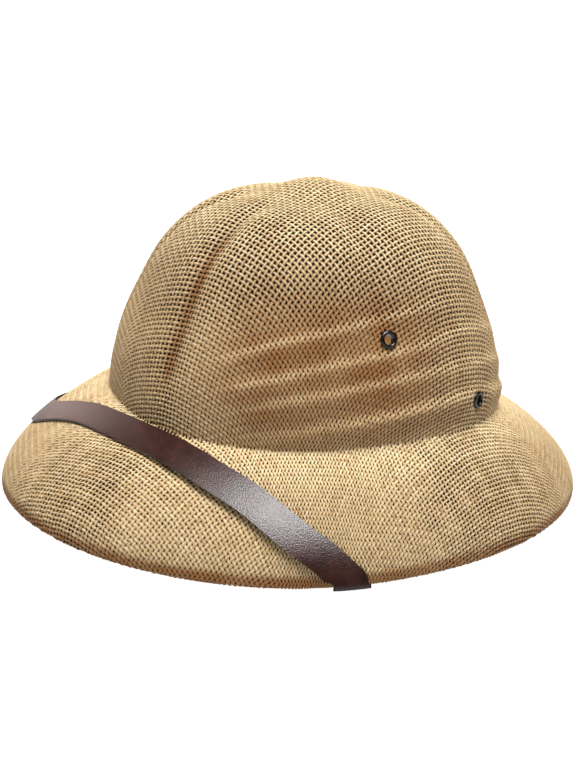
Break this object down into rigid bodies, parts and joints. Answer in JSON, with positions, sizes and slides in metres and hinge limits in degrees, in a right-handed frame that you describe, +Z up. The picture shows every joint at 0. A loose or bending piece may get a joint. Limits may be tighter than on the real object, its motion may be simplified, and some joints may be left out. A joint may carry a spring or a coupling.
{
  "type": "pith helmet",
  "caption": "Woven straw pith helmet with a panelled domed crown, folded sides, a sloping all-round brim, metal vent eyelets and a leather chin strap over the brim.",
  "frame": {"origin": "on the surface the hat rests on, under the middle of the rim", "axes": "+Z up, the front of the brim towards -Y, the wearer's left towards +X"},
  "size_m": [0.2792, 0.3486, 0.1873],
  "materials": {
    "woven_straw": "plain weave of flat twisted paper straw, tan, dry and matt with toasted edges",
    "eyelet_metal": "blackened gunmetal, smooth rolled lip with a worn bright edge",
    "strap_leather": "dark red-brown smooth leatherette with a fine pebble grain and a satin gloss",
    "stud_metal": "plain antique brass"
  },
  "bodies": {
    "root": {"shell": "woven_straw", "vent_left_upper": "eyelet_metal", "vent_left_lower": "eyelet_metal", "vent_right_upper": "eyelet_metal", "vent_right_lower": "eyelet_metal", "chin_strap": "strap_leather", "strap_stud_left": "stud_metal", "strap_stud_right": "stud_metal"}
  },
  "joints": []
}
